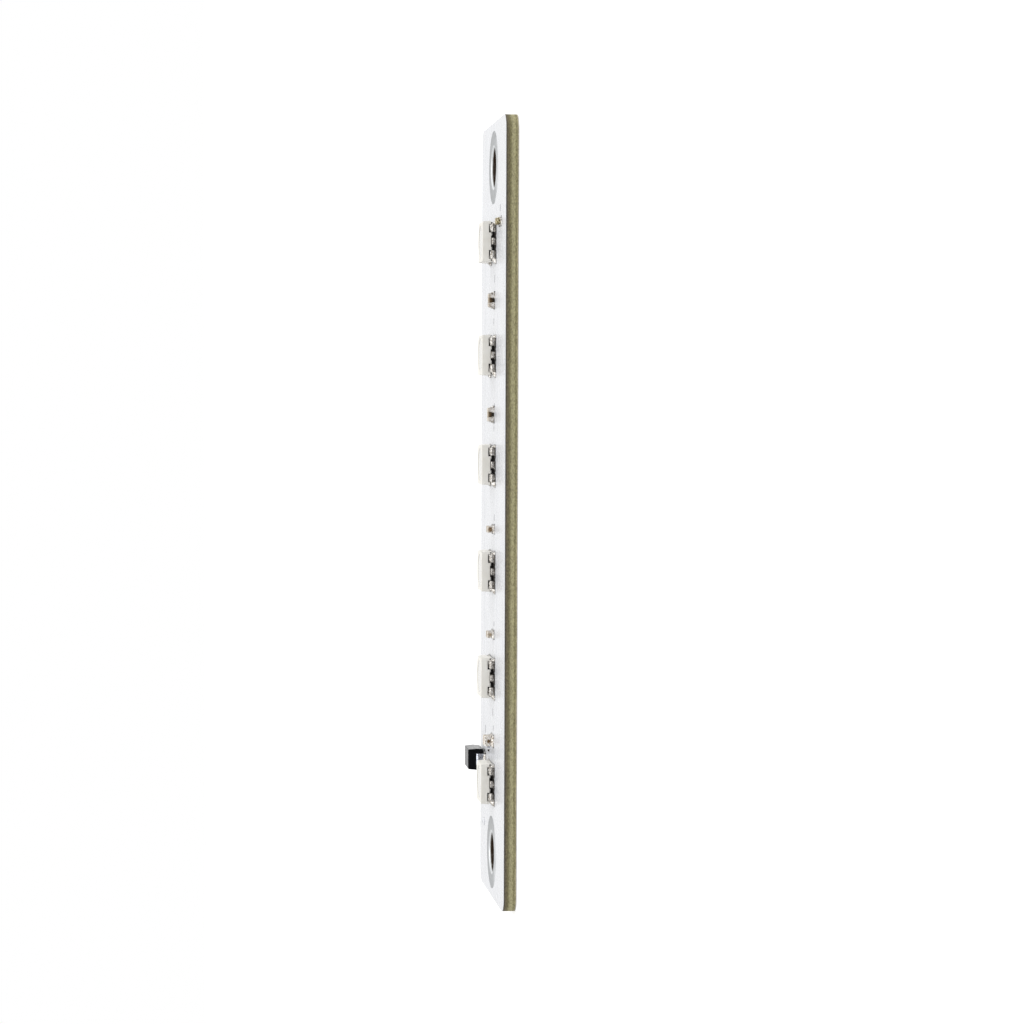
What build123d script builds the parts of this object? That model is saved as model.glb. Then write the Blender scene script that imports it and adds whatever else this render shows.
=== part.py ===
"""LED module: a narrow rigid board that carries six square surface-mount LEDs in a row,
a chip capacitor for each, a supply diode, and a plated mounting hole at each end.

The board lies flat on its back. X runs along it, Y across it and Z out of its lit face.
The origin is the middle of the back face. All sizes are in millimetres.
"""

import os
from math import copysign

from build123d import *

os.makedirs("parts", exist_ok=True)

# Board: glass-epoxy laminate with a layer of white solder resist on each face.
board_length = 96.0
board_width = 24.0
laminate_thickness = 1.5
resist_thickness = 0.05
corner_radius = 1.9
board_thickness = laminate_thickness + 2 * resist_thickness

# Tinned copper. A land fills an opening in the resist, flush with it.
land_gap = 0.05
barrel_thickness = 0.05

# Mounting holes, one near each end on the centre line.
hole_diameter = 4.8
hole_inset = 5.5
hole_land_diameter = 8.9
hole_rim_bevel = 0.2

# The row of LEDs. Each was placed a little off the even pitch.
end_to_first_led = 14.7
led_placement_errors = [0, -0.6, -0.8, -0.65, -0.5, -0.35]

# One LED package: a square white housing on a six-lead frame.
led_size = 5.0
led_height = 1.6
led_draft = 4
led_corner_mark = 0.7
led_edge_bevel = 0.12
frame_height = 0.6
plinth_recess = 0.55
plinth_end_recess = 0.12
plinth_standoff = 0.08
notch_rise = 0.26
notch_depth = 0.3
notch_clearance = 0.06
lead_thickness = 0.2
lead_width = 0.95
lead_pitch = 1.6
lead_overhang = 0.2
lead_bend_radius = 0.25
foot_length = 0.9
cup_mouth_radius = 2.05
cup_floor_radius = 1.75
lens_gap = 0.01
lens_sink = 0.05

# Inside the cup: the ends of the leads, three light-emitting dies and the driver die.
tab_width = 0.95
tab_pitch = 1.16
tab_inner_edge = 0.75
die_paddle_length = 1.15
emitter_size = 0.26
emitter_height = 0.12
emitter_pitch = 0.94
emitter_setback = 0.3
driver_offset = 0.1
driver_length = 0.8
driver_width = 0.62
driver_height = 0.15

# Chip capacitors: length over the terminals, width, height.
small_chip = (1.6, 0.8, 0.8)
low_chip = (1.6, 0.8, 0.6)
bulk_chip = (2.0, 1.25, 1.1)
terminal_share = 0.28
terminal_wall = 0.03
chip_edge_bevel = 0.05
chip_land_inner_share = 0.286

# The capacitors that stand between two LEDs. Each row gives how far below the upper LED it is,
# as a share of the pitch, its y, whether it is turned across the board, and its size.
gap_capacitors = [
    (0.54, -1.2, False, small_chip),
    (0.55, -0.95, False, small_chip),
    (0.6, -1.0, True, small_chip),
    (0.59, -1.0, True, small_chip),
    (0.595, -0.8, True, bulk_chip),
]

# One more stands near the board's front edge, a little above the first LED.
edge_capacitor_rise = 2.15
edge_capacitor_inset = 4.9

# Supply diode: a drafted black body with a strip terminal folded under each end.
diode_length = 4.3
diode_width = 2.7
diode_height = 2.2
diode_parting_height = 1.12
diode_standoff = 0.1
diode_draft = 5
diode_edge_bevel = 0.1
diode_terminal_width = 1.45
diode_terminal_thickness = 0.2
diode_terminal_reach = 0.25
diode_bend_radius = 0.3
diode_foot_length = 1.15
diode_rise = 1.9
diode_edge_inset = 3.35

# Solder.
toe_height = 0.04
fillet_slackness = 1.15
led_toe = 0.35
led_solder_rise = 0.34
chip_toe = 0.3
chip_solder_rise_share = 0.6
diode_toe = 0.4
diode_solder_rise = 0.6
land_side_margin = 0.15

# The lands of an LED lie a little off its middle, and the outer ones reach on past their leads.
led_land_offset = -0.15
outer_land_reach = 0.4

# A small plated via near the last hole. Solder fills it and stands as a low dome on the front.
via_land_diameter = 1.0
via_hole_diameter = 0.5
via_rise = 2.65
via_edge_inset = 4.3
via_dome_radius = 0.45
via_dome_height = 0.28

# A stray bead of solder beside the last gap capacitor.
bead_radius = 0.34
bead_height = 0.62
bead_drop = 8.9
bead_y = 1.8

# The wire pads on the back.
wire_pad_length = 3.0
wire_pad_width = 2.0
wire_pad_pitch = 5.0
wire_pad_count = 3
wire_pad_distance = 10.0

# ---- Places that follow from the sizes above -----------------------------------------------

board_top = board_thickness
hole_xs = [board_length / 2 - hole_inset, hole_inset - board_length / 2]
led_count = len(led_placement_errors)
led_pitch = (board_length - 2 * end_to_first_led) / (led_count - 1)
first_led_x = board_length / 2 - end_to_first_led
led_xs = [first_led_x - i * led_pitch + error for i, error in enumerate(led_placement_errors)]
lead_xs = [-lead_pitch, 0, lead_pitch]
tab_xs = [-tab_pitch, 0, tab_pitch]
lead_outer_y = led_size / 2 + lead_overhang

# Each capacitor: x, y, turned across the board or not, size.
chips = [
    (led_x - share * led_pitch, y, turned, size)
    for led_x, (share, y, turned, size) in zip(led_xs, gap_capacitors)
]
chips.append((led_xs[0] + edge_capacitor_rise, edge_capacitor_inset - board_width / 2, True, low_chip))

diode_x = led_xs[-1] + diode_rise
diode_y = board_width / 2 - diode_edge_inset
via_x = hole_xs[1] + via_rise
via_y = board_width / 2 - via_edge_inset
bead_x = led_xs[-2] - bead_drop


def led_land(lead_x):
    """Middle and width, along the board, of the land under the lead at lead_x."""
    reach = 0 if lead_x == 0 else copysign(outer_land_reach, lead_x)
    middle = lead_x + led_land_offset + reach / 2
    return middle, lead_width + 2 * land_side_margin + abs(reach)


def chip_land(size):
    """Length, width and distance from the chip's middle of the land under one terminal."""
    length, width, _ = size
    inner = length / 2 - chip_land_inner_share * length
    outer = length / 2 + chip_toe
    return outer - inner, width + 2 * land_side_margin, (inner + outer) / 2


def component_lands():
    """Every land under a component, as (x, y, size along x, size along y)."""
    lands = []
    led_land_outer = lead_outer_y + led_toe
    led_land_inner = lead_outer_y - foot_length
    for led_x in led_xs:
        for lead_x in lead_xs:
            for side in (-1, 1):
                y = side * (led_land_outer + led_land_inner) / 2
                middle, width = led_land(lead_x)
                lands.append((led_x + middle, y, width, led_land_outer - led_land_inner))
    for x, y, turned, size in chips:
        length, width, distance = chip_land(size)
        for side in (-1, 1):
            if turned:
                lands.append((x, y + side * distance, width, length))
            else:
                lands.append((x + side * distance, y, length, width))
    outer = diode_length / 2 + diode_terminal_reach + diode_toe
    inner = diode_length / 2 + diode_terminal_reach - diode_foot_length
    for side in (-1, 1):
        width = diode_terminal_width + 2 * land_side_margin
        lands.append((diode_x, diode_y + side * (outer + inner) / 2, width, outer - inner))
    return lands


def wire_pad_places():
    """Centres of the wire pads, one row across the board inside each mounting hole."""
    rows = [hole_xs[0] - wire_pad_distance, hole_xs[1] + wire_pad_distance]
    offsets = [(i - (wire_pad_count - 1) / 2) * wire_pad_pitch for i in range(wire_pad_count)]
    return [(x, y) for x in rows for y in offsets]


def save(name, block):
    """Label a finished piece and write its STEP file."""
    block.part.label = name
    export_step(block.part, f"parts/{name}.step")


def folded_strip(x, outer_y, tab_end_y, foot_end_y, top_z, thickness, bend_radius):
    """Section of a terminal strip at x: a level tab, a turn down outside the body at outer_y,
    and a foot folded back under the body, flat on its land."""
    inward = thickness if tab_end_y > outer_y else -thickness
    with BuildSketch(Plane.YZ.offset(x), mode=Mode.PRIVATE) as strip:
        with BuildLine():
            Polyline(
                (tab_end_y, top_z),
                (outer_y, top_z),
                (outer_y, board_top),
                (foot_end_y, board_top),
                (foot_end_y, board_top + thickness),
                (outer_y + inward, board_top + thickness),
                (outer_y + inward, top_z - thickness),
                (tab_end_y, top_z - thickness),
                close=True,
            )
        make_face()
        outer_corners = strip.vertices().filter_by(lambda corner: abs(corner.X - outer_y) < 1e-6)
        fillet(outer_corners, bend_radius)
    return strip.sketch


def solder_section(x, y, z, outward, reach, rise):
    """Section of a concave fillet that stands on a land at (x, y, z) and climbs a wall.

    outward is the horizontal direction from the wall to the fillet's toe."""
    section = Plane(origin=(x, y, z), x_dir=outward, z_dir=(outward[1], -outward[0], 0))
    with BuildSketch(section, mode=Mode.PRIVATE) as fillet_section:
        with BuildLine():
            Polyline((0, rise), (0, 0), (reach, 0), (reach, toe_height))
            RadiusArc((reach, toe_height), (0, rise), -fillet_slackness * max(reach, rise))
        make_face()
    return fillet_section.sketch


def solder_drop(x, y, radius, height):
    """A drop of solder at (x, y): the top of a ball, cut flat where it stands on the board."""
    with BuildPart(mode=Mode.PRIVATE) as drop:
        with Locations((x, y, board_top + height - radius)):
            Sphere(radius)
        split(bisect_by=Plane.XY.offset(board_top))
    return drop.part


# ---- Board ---------------------------------------------------------------------------------

with BuildPart() as board:
    with BuildSketch():
        RectangleRounded(board_length, board_width, corner_radius)
    extrude(amount=board_thickness)
    # The mounting holes, with room for the plating, and their bevelled rims.
    for hole_x in hole_xs:
        with BuildSketch(Plane.XY):
            with Locations((hole_x, 0)):
                Circle(hole_land_diameter / 2 + land_gap)
        extrude(amount=resist_thickness, mode=Mode.SUBTRACT)
        with BuildSketch(Plane.XY.offset(board_top)):
            with Locations((hole_x, 0)):
                Circle(hole_land_diameter / 2 + land_gap)
        extrude(amount=-resist_thickness, mode=Mode.SUBTRACT)
        with Locations((hole_x, 0, 0)):
            Hole(hole_diameter / 2 + barrel_thickness)
        rims = board.edges().filter_by(GeomType.CIRCLE).filter_by(
            lambda edge: abs(edge.radius - hole_diameter / 2 - barrel_thickness) < 1e-6
            and abs(edge.arc_center.X - hole_x) < 1e-6
        )
        chamfer(rims, hole_rim_bevel)
    # Openings in the front resist for the component lands and the via.
    with BuildSketch(Plane.XY.offset(board_top)):
        for x, y, size_x, size_y in component_lands():
            with Locations((x, y)):
                Rectangle(size_x + 2 * land_gap, size_y + 2 * land_gap)
        with Locations((via_x, via_y)):
            Circle(via_land_diameter / 2 + land_gap)
    extrude(amount=-resist_thickness, mode=Mode.SUBTRACT)
    # Openings in the back resist for the wire pads and the via.
    with BuildSketch(Plane.XY):
        with Locations(*wire_pad_places()):
            Rectangle(wire_pad_width + 2 * land_gap, wire_pad_length + 2 * land_gap)
        with Locations((via_x, via_y)):
            Circle(via_land_diameter / 2 + land_gap)
    extrude(amount=resist_thickness, mode=Mode.SUBTRACT)
    with Locations((via_x, via_y, 0)):
        Hole(via_hole_diameter / 2 + barrel_thickness)
save("board", board)

# ---- Plated holes --------------------------------------------------------------------------

for number, hole_x in enumerate(hole_xs, start=1):
    with BuildPart() as barrel:
        # Half the section: a land on each face, joined by the barrel along both bevels.
        with BuildSketch(Plane.XZ):
            with BuildLine():
                wall = hole_diameter / 2 + barrel_thickness
                bevel = hole_rim_bevel
                low = resist_thickness
                high = board_top - resist_thickness
                land = hole_land_diameter / 2
                inner = hole_diameter / 2
                Polyline(
                    (hole_x + inner, low + bevel),
                    (hole_x + inner + bevel + low, 0),
                    (hole_x + land, 0),
                    (hole_x + land, low),
                    (hole_x + wall + bevel, low),
                    (hole_x + wall, low + bevel),
                    (hole_x + wall, high - bevel),
                    (hole_x + wall + bevel, high),
                    (hole_x + land, high),
                    (hole_x + land, board_top),
                    (hole_x + inner + bevel + low, board_top),
                    (hole_x + inner, high - bevel),
                    close=True,
                )
            make_face()
        revolve(axis=Axis((hole_x, 0, 0), (0, 0, 1)))
    save(f"barrel_{number}", barrel)

with BuildPart() as via:
    for start in (0, board_top - resist_thickness):
        with BuildSketch(Plane.XY.offset(start)):
            with Locations((via_x, via_y)):
                Circle(via_land_diameter / 2)
        extrude(amount=resist_thickness)
    with BuildSketch():
        with Locations((via_x, via_y)):
            Circle(via_hole_diameter / 2 + barrel_thickness)
    extrude(amount=board_thickness)
    add(solder_drop(via_x, via_y, via_dome_radius, via_dome_height))
save("via", via)

# ---- Lands ---------------------------------------------------------------------------------

with BuildPart() as lands:
    with BuildSketch(Plane.XY.offset(board_top)):
        for x, y, size_x, size_y in component_lands():
            with Locations((x, y)):
                Rectangle(size_x, size_y)
    extrude(amount=-resist_thickness)
save("component_lands", lands)

with BuildPart() as wire_pads:
    with BuildSketch():
        with Locations(*wire_pad_places()):
            Rectangle(wire_pad_width, wire_pad_length)
    extrude(amount=resist_thickness)
save("wire_pads", wire_pads)

# ---- LEDs ----------------------------------------------------------------------------------

for number, led_x in enumerate(led_xs, start=1):
    seat = Plane(origin=(led_x, 0, board_top))
    frame_top = board_top + frame_height

    # Six leads: flat tabs in the cup's floor that leave through the housing's sides,
    # turn down and fold back under it. The middle tab of one side carries the driver die.
    with BuildPart() as lead_frame:
        plinth_y = led_size / 2 - plinth_recess
        for side in (-1, 1):
            for i, lead_x in enumerate(lead_xs):
                strip = folded_strip(
                    led_x + lead_x,
                    side * lead_outer_y,
                    side * plinth_y,
                    side * (lead_outer_y - foot_length),
                    frame_top,
                    lead_thickness,
                    lead_bend_radius,
                )
                extrude(strip, amount=lead_width / 2, both=True)
                carries_driver = side == 1 and lead_x == 0
                inner_edge = -die_paddle_length / 2 if carries_driver else tab_inner_edge
                with BuildSketch(Plane.XY.offset(frame_top)):
                    with Locations((led_x + tab_xs[i], side * (inner_edge + plinth_y) / 2)):
                        Rectangle(tab_width, plinth_y - inner_edge)
                extrude(amount=-lead_thickness)
    save(f"led_{number}_lead_frame", lead_frame)

    # The housing: a plinth moulded round the frame, a drafted square block with one corner
    # cut as the polarity mark, and a round cup that opens through its top.
    with BuildPart() as housing:
        with BuildSketch(seat.offset(plinth_standoff)):
            Rectangle(led_size - 2 * plinth_end_recess, led_size - 2 * plinth_recess)
        extrude(amount=frame_height - plinth_standoff)
        with BuildSketch(seat.offset(frame_height)) as outline:
            Rectangle(led_size, led_size)
            corners = outline.vertices().sort_by(Axis.X)
            marked = corners[-2:].sort_by(Axis.Y)[-1]
            chamfer(marked, led_corner_mark)
            chamfer(outline.vertices().group_by(Axis.X)[0], led_edge_bevel)
        extrude(amount=led_height - frame_height, taper=led_draft)
        with BuildSketch(seat.offset(frame_height)):
            Circle(cup_floor_radius)
        with BuildSketch(seat.offset(led_height)):
            Circle(cup_mouth_radius)
        loft(mode=Mode.SUBTRACT)
        # The sides are notched above the outer leads.
        with BuildSketch(seat.offset(frame_height)):
            with GridLocations(2 * lead_pitch, led_size - notch_depth, 2, 2):
                Rectangle(lead_width + 2 * notch_clearance, notch_depth)
        extrude(amount=notch_rise, mode=Mode.SUBTRACT)
        add(lead_frame.part, mode=Mode.SUBTRACT)
    save(f"led_{number}_housing", housing)

    # Three light-emitting dies, one on each tab of the other side, and the driver in the middle.
    with BuildPart() as dies:
        with BuildSketch(Plane.XY.offset(frame_top)):
            with Locations((led_x, driver_offset)):
                Rectangle(driver_width, driver_length)
        extrude(amount=driver_height)
        with BuildSketch(Plane.XY.offset(frame_top)):
            with Locations((led_x, -tab_inner_edge - emitter_setback)):
                with GridLocations(emitter_pitch, 1, 3, 1):
                    Rectangle(emitter_size, emitter_size)
        extrude(amount=emitter_height)
    save(f"led_{number}_dies", dies)

    # The clear filling of the cup, a little below its rim, with the dies inside it.
    with BuildPart() as lens:
        with BuildSketch(seat.offset(frame_height + lens_gap)):
            Circle(cup_floor_radius - lens_gap)
        with BuildSketch(seat.offset(led_height - lens_sink)):
            cup_slope = (cup_mouth_radius - cup_floor_radius) / (led_height - frame_height)
            Circle(cup_mouth_radius - cup_slope * lens_sink - lens_gap)
        loft()
        add(dies.part, mode=Mode.SUBTRACT)
    save(f"led_{number}_lens", lens)

    with BuildPart() as led_solder:
        for side in (-1, 1):
            for lead_x in lead_xs:
                middle, width = led_land(lead_x)
                wall = (led_x + middle, side * lead_outer_y, board_top)
                section = solder_section(*wall, (0, side, 0), led_toe, led_solder_rise)
                extrude(section, amount=(width - land_side_margin) / 2, both=True)
    save(f"led_{number}_solder", led_solder)

# ---- Chip capacitors -----------------------------------------------------------------------

for number, (chip_x, chip_y, turned, size) in enumerate(chips, start=1):
    length, width, height = size
    along = (0, 1, 0) if turned else (1, 0, 0)
    seat = Plane(origin=(chip_x, chip_y, board_top), x_dir=along, z_dir=(0, 0, 1))
    terminal_length = terminal_share * length

    with BuildPart() as ceramic:
        with BuildSketch(seat.offset(terminal_wall)):
            Rectangle(length - 2 * terminal_wall, width - 2 * terminal_wall)
        extrude(amount=height - 2 * terminal_wall)
    save(f"capacitor_{number}_body", ceramic)

    # The terminals are dipped caps, each wrapped round one end of the ceramic.
    with BuildPart() as terminals:
        with BuildSketch(seat):
            Rectangle(length, width)
        extrude(amount=height)
        chamfer(terminals.edges(), chip_edge_bevel)
        with BuildSketch(seat.offset(-terminal_wall)):
            Rectangle(length - 2 * terminal_length, 2 * width)
        extrude(amount=height + 2 * terminal_wall, mode=Mode.SUBTRACT)
        add(ceramic.part, mode=Mode.SUBTRACT)
    save(f"capacitor_{number}_terminals", terminals)

    with BuildPart() as chip_solder:
        for side in (-1, 1):
            outward = (0, side, 0) if turned else (side, 0, 0)
            wall = (chip_x + outward[0] * length / 2, chip_y + outward[1] * length / 2, board_top)
            section = solder_section(*wall, outward, chip_toe, chip_solder_rise_share * height)
            extrude(section, amount=width / 2, both=True)
    save(f"capacitor_{number}_solder", chip_solder)

with BuildPart() as solder_bead:
    add(solder_drop(bead_x, bead_y, bead_radius, bead_height))
save("solder_bead", solder_bead)

# ---- Diode ---------------------------------------------------------------------------------

parting = Plane(origin=(diode_x, diode_y, board_top + diode_parting_height))

with BuildPart() as diode_terminals:
    for side in (-1, 1):
        outer_y = diode_length / 2 + diode_terminal_reach
        strip = folded_strip(
            diode_x,
            diode_y + side * outer_y,
            diode_y + side * diode_length / 4,
            diode_y + side * (outer_y - diode_foot_length),
            board_top + diode_parting_height + diode_terminal_thickness / 2,
            diode_terminal_thickness,
            diode_bend_radius,
        )
        extrude(strip, amount=diode_terminal_width / 2, both=True)
save("diode_terminals", diode_terminals)

# The body was moulded in two halves, so it is drafted both ways from its parting line.
with BuildPart() as diode_body:
    with BuildSketch(parting):
        Rectangle(diode_width, diode_length)
    extrude(amount=diode_height - diode_parting_height, taper=diode_draft)
    with BuildSketch(parting):
        Rectangle(diode_width, diode_length)
    extrude(
        amount=-(diode_parting_height - diode_terminal_thickness - diode_standoff),
        taper=diode_draft,
    )
    chamfer(diode_body.faces().sort_by(Axis.Z)[-1].edges(), diode_edge_bevel)
    add(diode_terminals.part, mode=Mode.SUBTRACT)
save("diode_body", diode_body)

with BuildPart() as diode_solder:
    for side in (-1, 1):
        wall_y = diode_y + side * (diode_length / 2 + diode_terminal_reach)
        section = solder_section(diode_x, wall_y, board_top, (0, side, 0), diode_toe, diode_solder_rise)
        extrude(section, amount=diode_terminal_width / 2, both=True)
save("diode_solder", diode_solder)
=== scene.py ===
import math

import bpy
import numpy as np
from mathutils import Euler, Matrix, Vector, noise


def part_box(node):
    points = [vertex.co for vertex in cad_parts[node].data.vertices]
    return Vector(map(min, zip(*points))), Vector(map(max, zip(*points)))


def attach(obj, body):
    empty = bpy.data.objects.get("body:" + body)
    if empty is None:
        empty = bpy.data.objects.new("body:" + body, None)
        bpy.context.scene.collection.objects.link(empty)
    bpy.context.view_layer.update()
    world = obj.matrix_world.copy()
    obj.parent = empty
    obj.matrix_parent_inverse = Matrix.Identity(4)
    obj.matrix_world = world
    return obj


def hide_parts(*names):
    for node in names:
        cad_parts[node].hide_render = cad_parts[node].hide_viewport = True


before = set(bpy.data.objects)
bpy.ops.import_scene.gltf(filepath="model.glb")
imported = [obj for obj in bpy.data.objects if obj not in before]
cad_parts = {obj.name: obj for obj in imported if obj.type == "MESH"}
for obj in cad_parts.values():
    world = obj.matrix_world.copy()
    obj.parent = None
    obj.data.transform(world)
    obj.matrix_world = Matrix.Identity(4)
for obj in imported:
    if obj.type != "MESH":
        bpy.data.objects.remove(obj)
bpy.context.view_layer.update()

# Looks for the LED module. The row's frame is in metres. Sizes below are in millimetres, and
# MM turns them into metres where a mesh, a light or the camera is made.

MM = 0.001

# ---- Sizes that the pieces share -------------------------------------------------------------

LED_COUNT = 6
CAPACITOR_COUNT = 6
TURNED_CAPACITORS = (3, 4, 5, 6)
BULK_CAPACITOR = 5

LEAD_PITCH = 1.6
LEAD_WIDTH = 0.95
LEAD_BEND_RADIUS = 0.25
LEAD_ROW_HALF = LEAD_PITCH + LEAD_WIDTH / 2
FOOT_LENGTH = 0.9
DIODE_FOOT_LENGTH = 1.15
TERMINAL_SHARE = 0.28

# The notch over the leads on each side of a housing, and how far painted shade climbs in it.
NOTCH_INNER_Y = 2.09
NOTCH_OUTER_Y = 2.45
NOTCH_SHADE_RISE = 0.25

HOLE_RADIUS = 2.4
RESIST_THICKNESS = 0.05
LAND_MARGIN = 0.15
LAND_OFFSET = -0.15
OUTER_LAND_REACH = 0.4
LED_TOE = 0.35
CHIP_TOE = 0.3
DIODE_TOE = 0.4

SOLDER_CELL = 0.045
SOLDER_EDGE_HEIGHT = 0.035

# How high solder climbs an LED's leads: at the row's two ends, between leads, and in front.
END_RISE = 0.62
INNER_RISE = 0.14
FACE_RISE = 0.17

# The skin of solder on a lead's face. Its foot differs from LED to LED. Its top, and how far it
# reaches past the lead, are given at its low and high x for each place in the row.
SKIN_THICKNESS = 0.05
SKIN_FOOTS = (0.12, 0.12, 0.11, 0.12, 0.12, 0.14)
SKIN_TOPS = {-1: (0.82, 0.68), 0: (0.56, 0.56), 1: (0.68, 0.82)}
SKIN_REACHES = {-1: (0.08, 0.03), 0: (-0.04, -0.04), 1: (0.03, 0.08)}

# Size of the dark strips of painted shade under the LEDs' sides.
SHADE_STRIP_WIDTH = 0.3
SHADE_STRIP_HEIGHT = 0.16
# Where the solder bead's painted shadow lies on the board.
BEAD_SHADOW_SPOT = (-30.1, 2.6)

WIRE_RADIUS = 0.0125
INK_WIDTH = 0.2
INK_HEIGHT = 0.012

# Copper under the resist: supply rails, the stubs from them to the LEDs, and the data lines.
TRACE_HEIGHT = 0.022
RAIL_Y = 9.2
RAIL_WIDTH = 2.3
RAIL_END_INSET = 10.6
STUB_END_Y = 8.1
STUB_WIDTH = 0.5
DATA_WIDTH = 0.3
DATA_LANE_OFFSET = 1.3
DATA_BEND = 0.6
TRACE_CLEARANCE = 0.12


def box_mm(node):
    """Lowest and highest corner of a CAD node, in millimetres."""
    low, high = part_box(node)
    return low / MM, high / MM


board_low, board_high = box_mm("board")
BOARD_TOP = board_high.z
BOARD_THICKNESS = board_high.z - board_low.z

LEDS = range(1, LED_COUNT + 1)
CAPACITORS = range(1, CAPACITOR_COUNT + 1)
led_boxes = {number: box_mm(f"led_{number}_housing") for number in LEDS}
led_xs = {number: (low.x + high.x) / 2 for number, (low, high) in led_boxes.items()}
lead_frame_high = box_mm("led_1_lead_frame")[1]
lead_outer_y = lead_frame_high.y
frame_top = lead_frame_high.z


# ---- Shader helpers --------------------------------------------------------------------------


def srgb(red, green, blue, alpha=1.0):
    """A display colour of 0 to 255 as the linear colour that shaders take."""

    def linear(value):
        value /= 255
        return value / 12.92 if value <= 0.04045 else ((value + 0.055) / 1.055) ** 2.4

    return (linear(red), linear(green), linear(blue), alpha)


def add_node(tree, kind, inputs=(), **settings):
    """Add a shader node. inputs maps a socket's name or number to a value or an output."""
    node = tree.nodes.new("ShaderNode" + kind)
    for name, value in settings.items():
        setattr(node, name, value)
    for name, value in dict(inputs).items():
        if isinstance(value, bpy.types.NodeSocket):
            tree.links.new(value, node.inputs[name])
        else:
            node.inputs[name].default_value = value
    return node


def maths(tree, operation, *values):
    """Output of a Math node."""
    return add_node(tree, "Math", enumerate(values), operation=operation).outputs[0]


def product(tree, first, *others):
    """Product of two or more values."""
    for other in others:
        first = maths(tree, "MULTIPLY", first, other)
    return first


def apart(tree, value, middle):
    """Unsigned distance of a coordinate from a middle."""
    return maths(tree, "ABSOLUTE", maths(tree, "SUBTRACT", value, middle))


def distance(tree, first, second):
    """Straight distance made up of two distances at right angles."""
    squares = [maths(tree, "POWER", value, 2.0) for value in (first, second)]
    return maths(tree, "SQRT", maths(tree, "ADD", *squares))


def ramp(tree, factor, stops):
    """Colour output of a ramp with (position, colour) stops."""
    node = add_node(tree, "ValToRGB", {"Fac": factor})
    while len(node.color_ramp.elements) < len(stops):
        node.color_ramp.elements.new(0.5)
    for element, (position, colour) in zip(node.color_ramp.elements, stops):
        element.position = position
        element.color = colour
    return node.outputs["Color"]


def blend(tree, factor, first, second, kind="RGBA", mode="MIX"):
    """Output of a Mix node, for colours or for floats."""
    node = tree.nodes.new("ShaderNodeMix")
    node.data_type = kind
    if kind == "RGBA":
        node.blend_type = mode
    slots = {"RGBA": (6, 7, 2), "FLOAT": (2, 3, 0)}[kind]
    for index, value in ((0, factor), (slots[0], first), (slots[1], second)):
        if isinstance(value, bpy.types.NodeSocket):
            tree.links.new(value, node.inputs[index])
        else:
            node.inputs[index].default_value = value
    return node.outputs[slots[2]]


def spread(tree, value, low, high, from_low=0.0, from_high=1.0):
    """A value mapped from one range to another, and clamped."""
    inputs = {"Value": value, "From Min": from_low, "From Max": from_high, "To Min": low, "To Max": high}
    return add_node(tree, "MapRange", inputs).outputs["Result"]


class Place:
    """Where a shading point is on the object, in millimetres."""

    def __init__(self, tree):
        self.tree = tree
        place = add_node(tree, "TexCoord").outputs["Object"]
        scaled = add_node(tree, "Mapping", {"Vector": place, "Scale": (1 / MM,) * 3})
        self.vector = scaled.outputs["Vector"]
        split = add_node(tree, "SeparateXYZ", {"Vector": self.vector})
        self.x, self.y, self.z = split.outputs

    def noise(self, scale, detail=2.0, roughness=0.5, stretch=(1, 1, 1)):
        """Cloudy noise, scale features to a millimetre, drawn out by stretch."""
        inputs = {"Vector": self.vector, "Scale": tuple(scale / part for part in stretch)}
        vector = add_node(self.tree, "Mapping", inputs).outputs["Vector"]
        inputs = {"Vector": vector, "Scale": 1.0, "Detail": detail, "Roughness": roughness}
        return add_node(self.tree, "TexNoise", inputs).outputs["Fac"]

    def mottled(self, stops, scale, detail=4.0, roughness=0.5):
        """A colour that noise moves through a ramp's stops."""
        return ramp(self.tree, self.noise(scale, detail, roughness), stops)

    def varied(self, low, high, scale, detail=2.0):
        """A value that noise moves between low and high."""
        return spread(self.tree, self.noise(scale, detail), low, high, 0.3, 0.7)

    def wander(self, amount, scale, detail=3.0, stretch=(1, 1, 1)):
        """Noise about zero, up to half of amount either way."""
        centred = maths(self.tree, "SUBTRACT", self.noise(scale, detail, stretch=stretch), 0.5)
        return product(self.tree, centred, amount)


def new_material(name, **sockets):
    """A material with its principled shader. Names of sockets are written with _ for a space."""
    material = bpy.data.materials.new(name)
    material.use_nodes = True
    tree = material.node_tree
    shader = tree.nodes["Principled BSDF"]
    for socket, value in sockets.items():
        shader.inputs[socket.replace("_", " ")].default_value = value
    return material, tree, shader


def bump(tree, shader, height, distance_mm):
    """Connect a height of 0 to 1 times a distance to a shader's normal."""
    node = add_node(tree, "Bump", {"Height": height, "Distance": distance_mm * MM, "Strength": 1.0})
    tree.links.new(node.outputs["Normal"], shader.inputs["Normal"])


def connect(tree, shader, **sources):
    """Link outputs to sockets of a shader."""
    for socket, source in sources.items():
        tree.links.new(source, shader.inputs[socket.replace("_", " ")])


# ---- Colours ---------------------------------------------------------------------------------

RESIST_WHITE = [(0.3, srgb(202, 203, 206)), (0.7, srgb(208, 209, 212))]
RESIST_HIGHLIGHT = srgb(222, 223, 226)
# Laminate colours up the cut edge. The dark stops toward the top are painted shade along the top face's
# edge.
LAMINATE_LAYERS_AND_SHADE = [
    (0.05, srgb(162, 154, 130)),
    (0.12, srgb(132, 127, 95)),
    (0.22, srgb(118, 113, 80)),
    (0.31, srgb(149, 144, 110)),
    (0.50, srgb(140, 135, 104)),
    (0.60, srgb(111, 106, 74)),
    (0.70, srgb(94, 88, 60)),
    (0.80, srgb(93, 86, 64)),
    (0.90, srgb(74, 67, 53)),
    (0.97, srgb(46, 43, 37)),
]
GLASS_GRAIN = [(0.33, srgb(96, 88, 92)), (0.5, srgb(188, 188, 188)), (0.68, srgb(250, 250, 240))]
# Near-black browns of painted shade.
SHADE_BROWNS = [(0.35, srgb(14, 12, 10)), (0.65, srgb(40, 32, 24))]

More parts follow.
